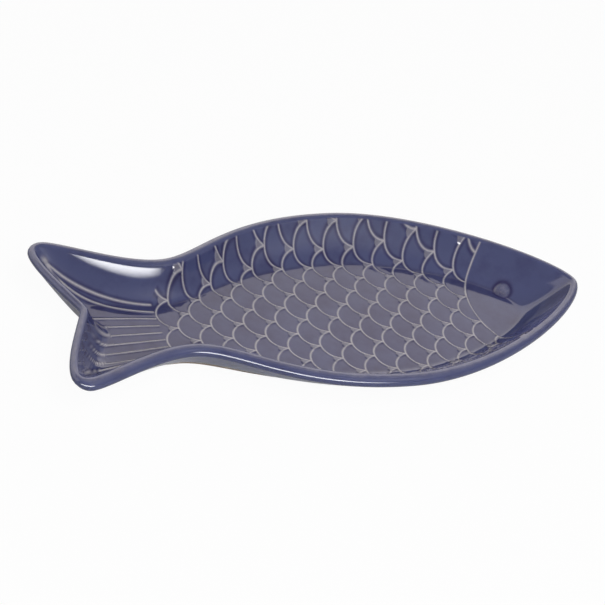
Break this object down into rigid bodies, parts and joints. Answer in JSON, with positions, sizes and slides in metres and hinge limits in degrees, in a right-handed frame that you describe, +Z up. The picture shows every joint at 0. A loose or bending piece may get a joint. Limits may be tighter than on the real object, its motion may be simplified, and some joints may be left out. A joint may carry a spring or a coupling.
{
  "type": "fish shaped platter",
  "caption": "Shallow fish shaped serving platter in blue glazed stoneware, with raised overlapping scales, gill line, fin rays and eye, a thick rounded rim and a foot ring.",
  "frame": {"origin": "on the table, under the middle of the platter's length and width", "axes": "+X towards the fish's nose, +Z up, out of the dish"},
  "size_m": [0.4, 0.186, 0.0325],
  "materials": {
    "bare_stoneware": "unglazed fired clay, matt",
    "blue_glaze": "glossy semi-clear cobalt glaze",
    "pale_relief": "glossy glaze, thin over the raised lines so that the pale clay shows"
  },
  "bodies": {
    "root": {"stoneware_body": "bare_stoneware", "glaze_coat": "blue_glaze", "base_glaze": "blue_glaze", "scale_ridges": "pale_relief", "scale_webs": "pale_relief", "gill_ridge": "pale_relief", "fin_rays": "pale_relief", "eye_boss": "blue_glaze"}
  },
  "joints": []
}
